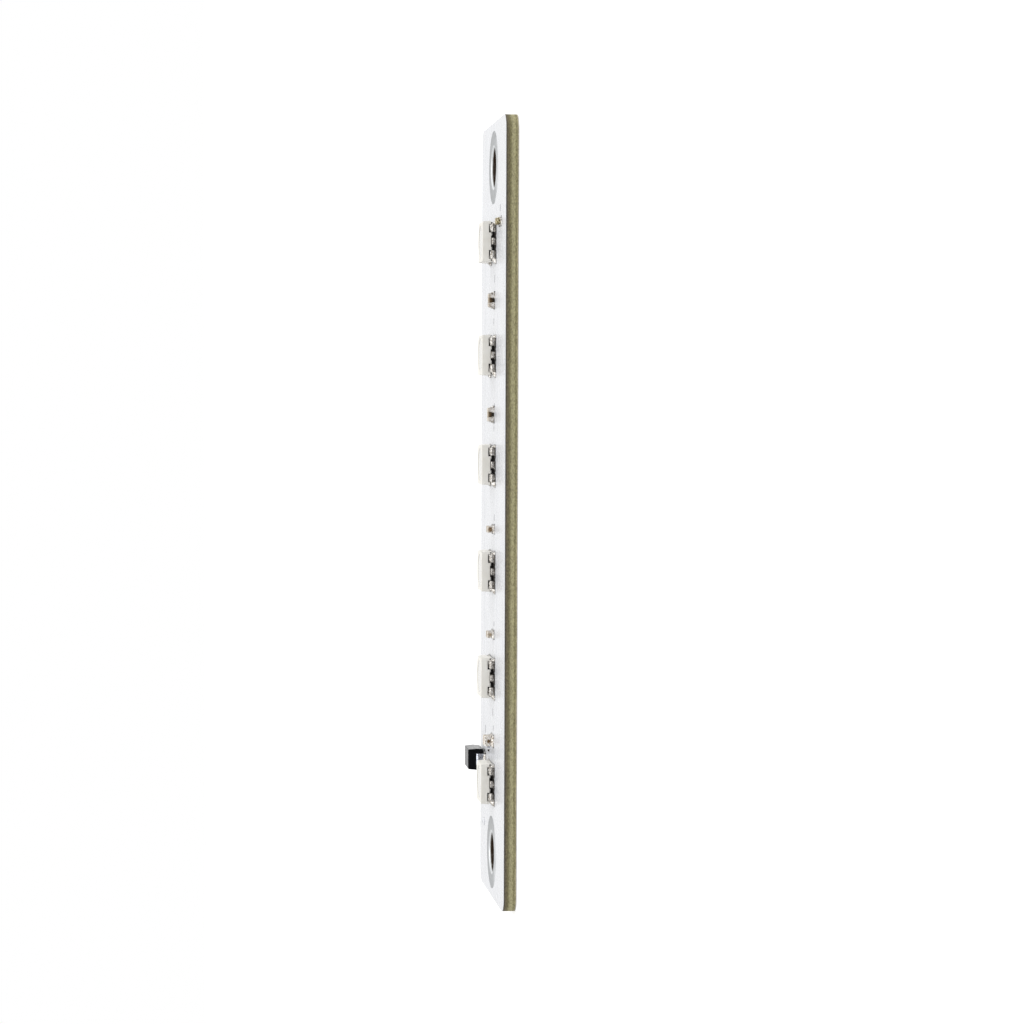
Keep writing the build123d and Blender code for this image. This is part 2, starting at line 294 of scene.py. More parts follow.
BRIGHT_SOLDER = [
    (0.34, srgb(70, 62, 54)),
    (0.42, srgb(134, 127, 118)),
    (0.50, srgb(182, 178, 172)),
    (0.60, srgb(208, 206, 203)),
    (0.80, srgb(226, 226, 228)),
]
SPECKLED_SOLDER = [
    (0.40, srgb(92, 82, 72)),
    (0.47, srgb(150, 140, 128)),
    (0.54, srgb(190, 186, 180)),
    (0.70, srgb(218, 217, 216)),
]
BLUISH_SOLDER = [
    (0.34, srgb(112, 115, 128)),
    (0.44, srgb(180, 184, 196)),
    (0.54, srgb(220, 223, 231)),
    (0.70, srgb(241, 243, 248)),
]

BROWN_CERAMIC = [
    (0.30, srgb(30, 22, 12)),
    (0.50, srgb(82, 62, 32)),
    (0.66, srgb(116, 92, 54)),
    (0.80, srgb(140, 114, 78)),
]
PALE_CERAMIC = [(0.34, srgb(112, 98, 76)), (0.44, srgb(178, 164, 140)), (0.6, srgb(214, 206, 192))]
# A painted highlight along the capacitors' top edges, and painted shade low down on their bodies.
TOP_EDGE_HIGHLIGHT = srgb(186, 172, 152)
LOW_SHADE = srgb(24, 18, 10)

BEIGE_DIP = [(0.3, srgb(150, 137, 120)), (0.45, srgb(200, 190, 176)), (0.75, srgb(228, 223, 216))]
SPECKLED_DIP = [
    (0.36, srgb(88, 80, 84)),
    (0.43, srgb(190, 180, 166)),
    (0.51, srgb(236, 232, 226)),
    (0.70, srgb(250, 249, 248)),
]
GOLD_DIP = [
    (0.42, srgb(34, 26, 10)),
    (0.48, srgb(112, 96, 48)),
    (0.54, srgb(180, 164, 112)),
    (0.61, srgb(246, 240, 218)),
]
WETTED_DIP = [
    (0.34, srgb(140, 132, 124)),
    (0.42, srgb(210, 206, 200)),
    (0.50, srgb(244, 242, 240)),
    (0.80, srgb(252, 252, 252)),
]
SOFT_BROWN = [(0.35, srgb(104, 80, 52)), (0.65, srgb(160, 138, 108))]
PALE_BROWN = [(0.35, srgb(146, 126, 98)), (0.65, srgb(188, 172, 146))]
DARK_BROWN = [(0.35, srgb(70, 48, 22)), (0.65, srgb(132, 104, 64))]

WHITE = (1.0, 1.0, 1.0, 1.0)

# ---- Materials -------------------------------------------------------------------------------


def resist_colour(place):
    """White solder resist with faint clouds."""
    return place.mottled(RESIST_WHITE, 0.35)


def resist_roughness(place):
    """Semi-gloss, so that it mirrors what stands on it a little at a low angle."""
    return place.varied(0.25, 0.29, 0.8, 3.0)


def board_material():
    """White resist on both faces, and the cut laminate between them."""
    material, tree, shader = new_material("white_board", Specular_IOR_Level=0.5)
    place = Place(tree)
    above = maths(tree, "GREATER_THAN", place.z, RESIST_THICKNESS * 1.1)
    below = maths(tree, "LESS_THAN", place.z, BOARD_TOP - RESIST_THICKNESS * 1.1)
    laminate = product(tree, above, below)
    # The cut edge: layers of glass cloth as streaks along the board, with painted shade that darkens it
    # toward the lit top face.
    waver = place.wander(0.22, 1.2, stretch=(6, 6, 1))
    depth = spread(tree, maths(tree, "ADD", place.z, waver), 0.0, 1.0, 0.0, BOARD_THICKNESS)
    layers_and_shade = ramp(tree, depth, LAMINATE_LAYERS_AND_SHADE)
    grain = ramp(tree, place.noise(7.0, 4.0, 0.7, stretch=(1.8, 1.8, 0.8)), GLASS_GRAIN)
    grained = blend(tree, 0.75, layers_and_shade, grain, mode="SOFT_LIGHT")
    colour = blend(tree, laminate, resist_colour(place), grained)
    rough = blend(tree, laminate, resist_roughness(place), 0.85, "FLOAT")
    connect(tree, shader, Base_Color=colour, Roughness=rough)
    ripple = product(tree, place.noise(2.2, 3.0), 0.05)
    fibres = place.noise(9.0, 3.0, stretch=(2.5, 2.5, 0.7))
    bump(tree, shader, blend(tree, laminate, ripple, fibres, "FLOAT"), 0.02)
    return material


def resist_material():
    """Resist where it lies over a copper track."""
    material, tree, shader = new_material("white_resist", Specular_IOR_Level=0.5)
    place = Place(tree)
    connect(tree, shader, Base_Color=resist_colour(place), Roughness=resist_roughness(place))
    bump(tree, shader, place.noise(2.2, 3.0), 0.001)
    return material


def via_material():
    """Resist over the via, with painted shade over its filled hole and round the border of its land, and a
    painted highlight between them.
    """
    material, tree, shader = new_material("via_resist", Specular_IOR_Level=0.5)
    place = Place(tree)
    low, high = box_mm("via")
    middle = (low + high) / 2
    along = maths(tree, "SUBTRACT", place.x, middle.x)
    across = maths(tree, "SUBTRACT", place.y, middle.y)
    reach = spread(tree, distance(tree, along, across), 0.0, 1.0, 0.0, high.x - middle.x)
    # Painted shade over the hole and at the land's border. Between them is a painted highlight.
    shade_over_hole, shade_over_border = srgb(176, 178, 184), srgb(146, 148, 155)
    rings = ramp(
        tree,
        maths(tree, "ADD", reach, place.wander(0.1, 3.0, 2.0)),
        [(0.40, shade_over_hole), (0.54, RESIST_HIGHLIGHT), (0.78, RESIST_HIGHLIGHT), (0.88, shade_over_border)],
    )
    connect(tree, shader, Base_Color=rings, Roughness=resist_roughness(place))
    bump(tree, shader, place.noise(2.2, 3.0), 0.001)
    return material


def tinned_material():
    """Hot-dipped tin: slightly wavy, with dull patches."""
    material, tree, shader = new_material("tinned_copper", Metallic=1.0)
    place = Place(tree)
    tin = [(0.3, srgb(176, 176, 174)), (0.7, srgb(214, 213, 210))]
    colour = place.mottled(tin, 1.6, roughness=0.6)
    connect(tree, shader, Base_Color=colour, Roughness=place.varied(0.28, 0.48, 3.0))
    bump(tree, shader, place.noise(2.5, 3.0), 0.012)
    return material


def barrel_material(node):
    """Tinned land round a mounting hole, with a painted highlight on its bevelled rim and painted shade on
    its wall.
    """
    material, tree, shader = new_material(f"plated_{node}", Specular_IOR_Level=0.12)
    place = Place(tree)
    low, high = box_mm(node)
    land_radius = (high.x - low.x) / 2
    along = maths(tree, "SUBTRACT", place.x, (low.x + high.x) / 2)
    reach = maths(tree, "ADD", distance(tree, along, place.y), place.wander(0.06, 1.5))
    tin = [(0.3, srgb(178, 180, 181)), (0.7, srgb(202, 204, 205))]
    patches = place.mottled(tin, 1.1, roughness=0.6)
    # The wall's near-black brown is painted shade inside the hole. The near-white rim is a painted
    # highlight.
    shaded_wall, rim_foot, rim_highlight = srgb(50, 34, 18), srgb(178, 177, 174), srgb(248, 249, 250)
    rings = ramp(
        tree,
        spread(tree, reach, 0.0, 1.0, HOLE_RADIUS - 0.25, land_radius + 0.2),
        [
            (0.10, shaded_wall),
            (0.125, rim_foot),
            (0.15, rim_highlight),
            (0.21, rim_highlight),
            (0.27, srgb(190, 192, 193)),
            (0.90, srgb(180, 182, 183)),
        ],
    )
    dull = blend(tree, 0.5, rings, patches, mode="MULTIPLY")
    # Outside the rim the tin is painted paler toward the board's front edge: a painted reflection.
    drift = maths(tree, "ADD", place.y, place.varied(-1.5, 1.5, 0.5, 3.0))
    sheen_toward_front = spread(tree, drift, 0.6, 0.0, -4.2, -1.2)
    past_rim = spread(tree, reach, 0.0, 1.0, HOLE_RADIUS + 0.05, HOLE_RADIUS + 0.1)
    colour = blend(tree, product(tree, sheen_toward_front, past_rim), dull, srgb(234, 236, 237))
    wall = spread(tree, reach, 1.0, 0.0, HOLE_RADIUS + 0.01, HOLE_RADIUS + 0.07)
    metal = blend(tree, wall, 1.0, 0.0, "FLOAT")
    rim_rough = spread(tree, reach, 0.35, 0.0, HOLE_RADIUS + 0.1, HOLE_RADIUS + 0.35)
    land_rough = maths(tree, "ADD", place.varied(0.32, 0.48, 2.5), rim_rough)
    rough = blend(tree, wall, land_rough, 0.7, "FLOAT")
    connect(tree, shader, Base_Color=colour, Metallic=metal, Roughness=rough)
    bump(tree, shader, place.noise(1.8, 3.0), 0.02)
    return material


def lead_material():
    """Tin-plated leads: bright inside the cup, and painted near-black as painted shade where they come out
    of the housing.
    """
    material, tree, shader = new_material("lead_frame")
    place = Place(tree)
    patches = place.noise(3.0, 4.0, 0.6)
    tin = ramp(tree, patches, [(0.3, srgb(176, 174, 168)), (0.7, srgb(226, 224, 218))])
    # Outside the housing the leads get painted shade: near-black under their bends and in the notches.
    shade_colour = ramp(tree, patches, [(0.3, srgb(14, 12, 10)), (0.7, srgb(46, 40, 33))])
    across = maths(tree, "ABSOLUTE", place.y)
    outside = spread(tree, across, 0.0, 1.0, lead_outer_y - 0.45, lead_outer_y - 0.35)
    metal = blend(tree, outside, 1.0, 0.0, "FLOAT")
    rough = blend(tree, outside, spread(tree, patches, 0.16, 0.36, 0.3, 0.7), 0.5, "FLOAT")
    connect(tree, shader, Base_Color=blend(tree, outside, tin, shade_colour), Metallic=metal, Roughness=rough)
    bump(tree, shader, place.noise(5.0, 3.0), 0.01)
    return material


def solder_colour(place, stops):
    """Reflowed solder's colour: bright, with dull specks."""
    return place.mottled(stops, 5.5, roughness=0.7)


def solder_roughness(tree, place):
    """Reflowed solder's roughness: mirror-like, with duller patches."""
    return spread(tree, place.noise(7.0), 0.1, 0.32, 0.35, 0.7)


def solder_material(name, stops):
    """Bright solder, mottled by the ramp's stops."""
    material, tree, shader = new_material(name, Metallic=1.0)
    place = Place(tree)
    connect(tree, shader, Base_Color=solder_colour(place, stops), Roughness=solder_roughness(tree, place))
    bump(tree, shader, place.noise(6.0, 3.0), 0.025)
    return material


def joint_material(number):
    """Solder of one LED's joints, with painted shade along the foot of the leads."""
    material, tree, shader = new_material(f"led_{number}_joint_solder")
    place = Place(tree)
    # Near-black painted shade low on the joints, beside the row of leads.
    foot_shade = place.mottled([(0.35, srgb(14, 12, 10)), (0.65, srgb(46, 38, 28))], 5.0, 3.0)
    wander = place.wander(0.25, 5.0)
    rise = maths(tree, "SUBTRACT", maths(tree, "ADD", place.z, wander), BOARD_TOP)
    along = maths(tree, "ADD", apart(tree, place.x, led_xs[number]), wander)
    beside = spread(tree, along, 1.0, 0.15, LEAD_ROW_HALF, LEAD_ROW_HALF + 0.1)
    foot_shade_mask = product(tree, spread(tree, rise, 1.0, 0.0, 0.11, 0.16), beside)
    rough = blend(tree, foot_shade_mask, solder_roughness(tree, place), 0.5, "FLOAT")
    metal = blend(tree, foot_shade_mask, 1.0, 0.0, "FLOAT")
    colour = blend(tree, foot_shade_mask, solder_colour(place, BRIGHT_SOLDER), foot_shade)
    connect(tree, shader, Base_Color=colour, Metallic=metal, Roughness=rough)
    bump(tree, shader, place.noise(6.0, 3.0), 0.025)
    return material


def shade_sheet_material():
    """Painted shade: near-black brown and a little shiny, for the strips and specks that stand in for shade.
    """
    material, tree, shader = new_material("painted_shade_sheet", Specular_IOR_Level=0.3)
    place = Place(tree)
    colour = place.mottled(SHADE_BROWNS, 5.0, 3.0)
    connect(tree, shader, Base_Color=colour, Roughness=place.varied(0.35, 0.6, 4.0))
    bump(tree, shader, place.noise(8.0, 3.0), 0.01)
    return material


def housing_material(number):
    """Cream moulding with fine draw marks. Its base between the leads and its notches are painted black as
    painted shade.
    """
    material, tree, shader = new_material(f"led_{number}_moulding", Specular_IOR_Level=0.4)
    place = Place(tree)
    clouds = place.mottled([(0.3, srgb(217, 214, 206)), (0.7, srgb(225, 223, 217))], 0.9)
    # The black is painted shade: on the base's flanks between the leads and up inside the notches over them.
    shade_colour = place.mottled([(0.35, srgb(18, 15, 12)), (0.65, srgb(40, 31, 24))], 3.0, 3.0)
    normal = add_node(tree, "SeparateXYZ", {"Vector": add_node(tree, "NewGeometry").outputs["Normal"]})
    flank = maths(tree, "LESS_THAN", maths(tree, "ABSOLUTE", normal.outputs[0]), 0.5)
    low_down = spread(tree, place.z, 1.0, 0.0, frame_top - 0.05, frame_top - 0.02)
    base = product(tree, low_down, flank)
    across = maths(tree, "ABSOLUTE", place.y)
    past_inner = spread(tree, across, 0.0, 1.0, NOTCH_INNER_Y - 0.01, NOTCH_INNER_Y + 0.01)
    inside_face = spread(tree, across, 1.0, 0.0, NOTCH_OUTER_Y - 0.01, NOTCH_OUTER_Y + 0.01)
    ragged = maths(tree, "ADD", place.z, product(tree, place.noise(4.0, 3.0), 0.16))
    shade_top = frame_top + NOTCH_SHADE_RISE
    under_roof = spread(tree, ragged, 1.0, 0.0, shade_top, shade_top + 0.03)
    along = apart(tree, place.x, led_xs[number])
    over_leads = spread(tree, along, 1.0, 0.0, LEAD_ROW_HALF - 0.03, LEAD_ROW_HALF + 0.03)
    notch = product(tree, past_inner, inside_face, under_roof, over_leads)
    black = maths(tree, "MAXIMUM", base, notch)
    colour = blend(tree, black, clouds, shade_colour)
    connect(tree, shader, Base_Color=colour, Roughness=place.varied(0.42, 0.58, 2.0))
    bump(tree, shader, place.noise(6.0, 3.0, stretch=(0.8, 0.8, 3.0)), 0.008)
    return material


def lens_material():
    """Slightly milky filling with a glossy face: clear from above, white along a low line of sight."""
    refraction = 1.41
    material, tree, shader = new_material("clear_filling", Roughness=0.12, IOR=refraction)
    place = Place(tree)
    milk = place.mottled([(0.3, srgb(236, 233, 222)), (0.7, srgb(243, 241, 232))], 1.2, 3.0)
    connect(tree, shader, Base_Color=milk)
    low_sight = add_node(tree, "LayerWeight", {"Blend": 0.5}).outputs["Facing"]
    milkiness = spread(tree, low_sight, 0.12, 0.85, 0.35, 0.85)
    alpha = maths(tree, "ADD", milkiness, place.varied(0.0, 0.1, 0.8, 3.0))
    clear = add_node(tree, "BsdfTransparent", {"Color": (1.0, 0.995, 0.97, 1.0)})
    filling = {"Fac": alpha, 1: clear.outputs[0], 2: shader.outputs[0]}
    through = add_node(tree, "MixShader", filling)
    gloss = add_node(tree, "BsdfGlossy", {"Roughness": 0.08})
    fresnel = add_node(tree, "Fresnel", {"IOR": refraction})
    face = {"Fac": fresnel.outputs[0], 1: through.outputs[0], 2: gloss.outputs[0]}
    coated = add_node(tree, "MixShader", face)
    tree.links.new(coated.outputs[0], tree.nodes["Material Output"].inputs["Surface"])
    bump(tree, shader, place.noise(2.0), 0.01)
    return material


def die_material():
    """Bare dies: dark violet-grey, with a fine grid of circuit blocks."""
    material, tree, shader = new_material("dies", Roughness=0.25, Specular_IOR_Level=0.6)
    place = Place(tree)
    inputs = {
        "Vector": place.vector,
        "Scale": 9.0,
        "Mortar Size": 0.03,
        "Brick Width": 0.8,
        "Row Height": 0.45,
        "Color1": srgb(98, 92, 112),
        "Color2": srgb(66, 70, 96),
        "Mortar": srgb(176, 160, 120),
    }
    blocks = add_node(tree, "TexBrick", inputs)
    tone = place.mottled([(0.3, srgb(170, 170, 170)), (0.7, srgb(235, 235, 235))], 8.0, 2.0)
    colour = blend(tree, 0.8, blocks.outputs["Color"], tone, mode="MULTIPLY")
    connect(tree, shader, Base_Color=colour)
    bump(tree, shader, blocks.outputs["Fac"], 0.004)
    return material


def ceramic_material(node, stops, low_shade_amount):
    """Fired ceramic of a capacitor, speckled by the ramp's stops, with a painted highlight along its top
    edge.
    The third argument is how dark the painted shade low down is, from 0 to 1."""
    material, tree, shader = new_material(f"ceramic_{node}", Specular_IOR_Level=0.3)
    place = Place(tree)
    low, high = box_mm(node)
    middle_z = (low.z + high.z) / 2
    top_edge = spread(tree, place.z, 0.0, 0.8, high.z - 0.2, high.z - 0.06)
    highlighted_top = blend(tree, top_edge, place.mottled(stops, 5.0, roughness=0.6), TOP_EDGE_HIGHLIGHT)
    low_down = spread(tree, place.z, low_shade_amount, 0.0, middle_z - 0.15, middle_z + 0.12)
    shaded_low = blend(tree, low_down, highlighted_top, LOW_SHADE)
    connect(tree, shader, Base_Color=shaded_low, Roughness=place.varied(0.35, 0.55, 6.0))
    bump(tree, shader, place.noise(10.0, 3.0), 0.01)
    return material


def worn_spot(tree, place, low, high, radius):
    """1 inside a ragged circle on a capacitor's two end faces, and 0 elsewhere."""
    middle = (low + high) / 2
    along = maths(tree, "SUBTRACT", place.x, middle.x)
    upward = maths(tree, "SUBTRACT", place.z, middle.z + 0.05)
    ragged = product(tree, place.noise(5.0, 3.0), 0.12)
    reach = maths(tree, "ADD", distance(tree, along, upward), ragged)
    inside = spread(tree, reach, 1.0, 0.0, radius - 0.08, radius + 0.08)
    end_y = high.y - middle.y
    at_end = spread(tree, apart(tree, place.y, middle.y), 0.0, 1.0, end_y - 0.06, end_y - 0.04)
    return product(tree, inside, at_end)


def cap_terminal_material(node, stops, grain, wetting, spot=None):
    """Dipped terminals of one capacitor, mottled by the ramp's stops, and paler low down where
    solder has wetted them. A spot of (radius, stops) is brown ceramic in each end face, where the
    dip is worn through."""
    material, tree, shader = new_material(f"dipped_{node}", Metallic=0.45)
    place = Place(tree)
    low, high = box_mm(node)
    dipped = place.mottled(stops, grain, roughness=0.62)
    wetted = spread(tree, place.z, wetting, 0.0, low.z + 0.2, low.z + 0.6)
    colour = blend(tree, wetted, dipped, solder_colour(place, WETTED_DIP))
    if spot:
        radius, brown_stops = spot
        brown = place.mottled(brown_stops, 7.0, 2.0)
        colour = blend(tree, worn_spot(tree, place, low, high, radius), colour, brown)
    connect(tree, shader, Base_Color=colour, Roughness=place.varied(0.35, 0.6, 5.0))
    bump(tree, shader, place.noise(8.0, 3.0), 0.012)
    return material


def epoxy_material():
    """Black moulded epoxy, finely textured, with a faint grey cathode band across the top."""
    material, tree, shader = new_material("black_epoxy")
    place = Place(tree)
    high = box_mm("diode_body")[1]
    speckle = place.mottled([(0.3, srgb(7, 7, 9)), (0.75, srgb(18, 19, 22))], 7.0, roughness=0.6)
    from_end = maths(tree, "SUBTRACT", high.y, place.y)
    near = spread(tree, from_end, 0.0, 1.0, 0.68, 0.72)
    far = spread(tree, from_end, 1.0, 0.0, 1.12, 1.16)
    top = spread(tree, place.z, 0.0, 1.0, high.z - 0.03, high.z - 0.01)
    band = product(tree, near, far, top, place.varied(0.55, 0.95, 6.0, 3.0))
    low_sight = add_node(tree, "LayerWeight", {"Blend": 0.5}).outputs["Facing"]
    gloss = spread(tree, low_sight, 0.08, 0.5, 0.5, 0.85)
    colour = blend(tree, band, speckle, srgb(150, 150, 148))
    rough = place.varied(0.22, 0.34, 4.0, 3.0)
    connect(tree, shader, Base_Color=colour, Roughness=rough, Specular_IOR_Level=gloss)
    bump(tree, shader, place.noise(14.0, 3.0, 0.6), 0.006)
    return material


def ink_material():
    """Dark grey silkscreen ink, a little broken up."""
    material, tree, shader = new_material("silkscreen_ink", Specular_IOR_Level=0.3)
    place = Place(tree)
    greys = [(0.35, srgb(52, 52, 58)), (0.6, srgb(84, 84, 92)), (0.8, srgb(150, 150, 156))]
    connect(tree, shader, Base_Color=place.mottled(greys, 9.0, 3.0), Roughness=place.varied(0.5, 0.7, 5.0))
    return material


def gold_material():
    """Drawn gold wire."""
    material, tree, shader = new_material("gold_wire", Metallic=1.0)
    place = Place(tree)
    gold = [(0.3, srgb(214, 168, 92)), (0.7, srgb(238, 200, 128))]
    connect(tree, shader, Base_Color=place.mottled(gold, 12.0, 2.0), Roughness=place.varied(0.15, 0.3, 15.0))
    return material


def floor_material():
    """Plain matt white floor."""
    material, tree, shader = new_material("floor", Roughness=0.9, Specular_IOR_Level=0.1)
    shader.inputs["Emission Strength"].default_value = 0.12
    shader.inputs["Emission Color"].default_value = WHITE
    whites = [(0.3, srgb(248, 248, 248)), (0.7, srgb(250, 250, 250))]
    connect(tree, shader, Base_Color=Place(tree).mottled(whites, 0.02, 2.0))
    return material


# ---- Mesh helpers ----------------------------------------------------------------------------


class Shape:
    """Vertices in millimetres and faces of one piece, gathered from several forms."""

    def __init__(self):
        self.vertices = []
        self.faces = []

    def add(self, vertices, faces):
        """Take in one closed form."""
        start = len(self.vertices)
        self.vertices += [tuple(vertex) for vertex in vertices]
        self.faces += [tuple(start + index for index in face) for face in faces]

    def piece(self, name, slot, material, smooth=True):
        """Make the piece, give it its material and let it ride on the part."""
        mesh = bpy.data.meshes.new(name)
        metres = [tuple(value * MM for value in vertex) for vertex in self.vertices]
        mesh.from_pydata(metres, [], self.faces)
        mesh.validate()
        mesh.polygons.foreach_set("use_smooth", [smooth] * len(mesh.polygons))
        mesh.materials.append(material)
        made = bpy.data.objects.new(name, mesh)
        bpy.context.scene.collection.objects.link(made)
        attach(made, "root")
        return made


def rim_pairs(columns, rows):
    """Neighbouring vertices round the rim of a grid that is stored column by column."""
    count = rows + 1
    rim = [i * count for i in range(columns + 1)]
    rim += [columns * count + j for j in range(1, rows + 1)]
    rim += [i * count + rows for i in range(columns - 1, -1, -1)]
    rim += [j for j in range(rows - 1, 0, -1)]
    return list(zip(rim, rim[1:] + rim[:1]))


def grid_faces(columns, rows):
    """Faces of a grid that is stored column by column."""
    count = rows + 1
    starts = [i * count + j for i in range(columns) for j in range(rows)]
    return [(start, start + count, start + count + 1, start + 1) for start in starts]


def add_joint(shape, terminal, land, rises, seed, hollow=1.9):
    """Solder round one terminal: a closed height field over its land.

    terminal and land are (low x, high x, low y, high y). The solder climbs the terminal's four
    walls by rises, in the same order, falls in a hollow curve and ends at the land's border."""
    columns = max(8, round((land[1] - land[0]) / SOLDER_CELL))
    rows = max(8, round((land[3] - land[2]) / SOLDER_CELL))
    vertices = []
    for x in np.linspace(land[0], land[1], columns + 1):
        for y in np.linspace(land[2], land[3], rows + 1):
            away_x = max(terminal[0] - x, x - terminal[1], 0.0)
            away_y = max(terminal[2] - y, y - terminal[3], 0.0)
            away = math.hypot(away_x, away_y)
            rise_x = rises[0] if x < terminal[0] else rises[1]
            rise_y = rises[2] if y < terminal[2] else rises[3]
            rise = (away_x * rise_x + away_y * rise_y) / (away_x + away_y) if away > 0 else 0.7 * min(rises)
            border = max(min(x - land[0], land[1] - x, y - land[2], land[3] - y), 0.0)
            lumps = noise.noise(Vector((x * 2.2, y * 2.2, seed * 7.3)))
            ripple = noise.noise(Vector((x * 7.0, y * 7.0, seed * 3.1)))
            share = border / (border + away) if border + away > 0 else 0.0
            height = rise * (1 + 0.3 * lumps) * share**hollow * (1 + 0.15 * ripple)
            vertices.append((x, y, BOARD_TOP + SOLDER_EDGE_HEIGHT + height))
    faces = grid_faces(columns, rows)
    rim = rim_pairs(columns, rows)
    base = len(vertices)
    vertices += [(*vertices[around][:2], BOARD_TOP - RESIST_THICKNESS / 2) for around, _ in rim]
    for i, (around, following) in enumerate(rim):
        faces.append((around, base + i, base + (i + 1) % len(rim), following))
    faces.append(tuple(base + i for i in reversed(range(len(rim)))))
    shape.add(vertices, faces)


def lead_face(rise):
    """How far out a lead's face is, at a height above the board."""
    radius = LEAD_BEND_RADIUS
    lead_height = frame_top - BOARD_TOP
    into_bend = max(radius - rise, rise - (lead_height - radius), 0.0)
    return lead_outer_y - radius + math.sqrt(max(radius**2 - min(into_bend, radius) ** 2, 0.0))


def add_wetted_face(shape, side, low_x, high_x, foot, tops, seed):
    """Solder drawn up a lead's face: a thin crowned skin from foot, with a slanting top."""
    columns, rows = 18, 14
    front, back = [], []
    for i in range(columns + 1):
        across = i / columns
        x = low_x + (high_x - low_x) * across
        top = tops[0] + (tops[1] - tops[0]) * across
        for j in range(rows + 1):
            rise = foot + (top - foot) * j / rows
            u, v = 2 * across - 1, 2 * j / rows - 1
            crown = math.sqrt(max((1 - u**6) * (1 - v**6), 0.0))
            lumps = noise.noise(Vector((x * 4.0, rise * 4.0, seed * 5.7)))
            inset = 0.04 * (1 - crown)
            out = lead_face(rise) + SKIN_THICKNESS * crown * (1 + 0.5 * lumps)
            inner = lead_face(rise) - 0.03
            front.append((x - u * inset, side * out, BOARD_TOP + rise - v * inset))
            back.append((x - u * inset, side * inner, BOARD_TOP + rise - v * inset))
    faces = []
    for corners in grid_faces(columns, rows):
        faces.append(corners)
        faces.append(tuple(len(front) + corner for corner in reversed(corners)))
    for around, following in rim_pairs(columns, rows):
        faces.append((following, around, len(front) + around, len(front) + following))
    shape.add(front + back, faces)


def add_dome(shape, x, y, radius, height):
    """A low round drop on the board."""
    rings, sides = 5, 12
    vertices = [(x, y, BOARD_TOP + height)]
    for i in range(1, rings + 1):
        angle = math.pi / 2 * i / rings
        reach = radius * math.sin(angle)
        z = BOARD_TOP + height * math.cos(angle)
        for k in range(sides):
            turn = 2 * math.pi * k / sides
            vertices.append((x + reach * math.cos(turn), y + reach * math.sin(turn), z))
    faces = [(0, 1 + k, 1 + (k + 1) % sides) for k in range(sides)]
    for i in range(rings - 1):
        for k in range(sides):
            a, b = 1 + i * sides + k, 1 + i * sides + (k + 1) % sides
            faces.append((a, a + sides, b + sides, b))
    faces.append(tuple(reversed(range(1 + (rings - 1) * sides, 1 + rings * sides))))
    shape.add(vertices, faces)


def add_tube(shape, points, radius, sides=6):
    """A closed round tube through points."""
    points = [Vector(point) for point in points]
    vertices, faces = [], []
    for i, point in enumerate(points):
        ahead = (points[min(i + 1, len(points) - 1)] - points[max(i - 1, 0)]).normalized()
        across = ahead.cross(Vector((0, 0, 1)))
        across = across.normalized() if across.length > 1e-6 else Vector((1, 0, 0))
        upward = across.cross(ahead)
        for k in range(sides):
            angle = 2 * math.pi * k / sides
            vertices.append(point + radius * (math.cos(angle) * across + math.sin(angle) * upward))
    for i in range(len(points) - 1):
        for k in range(sides):
            a, b = i * sides + k, i * sides + (k + 1) % sides
            faces.append((a, b, b + sides, a + sides))
    faces.append(tuple(reversed(range(sides))))
    faces.append(tuple(range(len(vertices) - sides, len(vertices))))
    shape.add(vertices, faces)


def add_bond_wire(shape, start, end, loop):
    """A bond wire that leaves its ball straight up and slopes down to its far end."""
    steps = 14
    points = []
    for i in range(steps + 1):
        share = i / steps
        level = (1 - share) * start[2] + share * end[2]
        arch = loop * math.sin(math.pi * share**0.6) ** 0.8
        x = (1 - share) * start[0] + share * end[0]
        y = (1 - share) * start[1] + share * end[1]
        points.append((x, y, level + arch + WIRE_RADIUS))
    add_tube(shape, points, WIRE_RADIUS)
    for place, size in ((start, 2.8), (end, 2.0)):
        lifts = (0.1, 0.8, 1.6)
        ball = [(place[0], place[1], place[2] + lift * WIRE_RADIUS) for lift in lifts]
        add_tube(shape, ball, size * WIRE_RADIUS, sides=10)


def add_ribbon(shape, path, width, low, high, bevel):
    """A flat strip with sloped sides along a path of (x, y) points, mitred at its corners."""
    path = [Vector(point) for point in path]
    half = width / 2
    profile = ((half, low, 0), (half - bevel, high, 1), (bevel - half, high, 1), (-half, low, 0))
    vertices, faces = [], []
    for i, point in enumerate(path):
        before = (point - path[i - 1]).normalized() if i else (path[1] - point).normalized()
        after = (path[i + 1] - point).normalized() if i < len(path) - 1 else before
        along = (before + after).normalized()
        reach = 1 / max(along.dot(after), 0.3)
        side = Vector((-along.y, along.x)) * reach
        end = bevel * (1 if i == 0 else -1) * along if i in (0, len(path) - 1) else Vector((0, 0))
        for offset, z, inset in profile:
            place = point + side * offset + end * inset
            vertices.append((place.x, place.y, z))
    for i in range(len(path) - 1):
        for k in range(4):
            a, b = i * 4 + k, i * 4 + (k + 1) % 4
            faces.append((a, a + 4, b + 4, b))
    last = (len(path) - 1) * 4
    faces.append((0, 1, 2, 3))
    faces.append((last + 3, last + 2, last + 1, last))
    shape.add(vertices, faces)


# ---- Pieces ----------------------------------------------------------------------------------


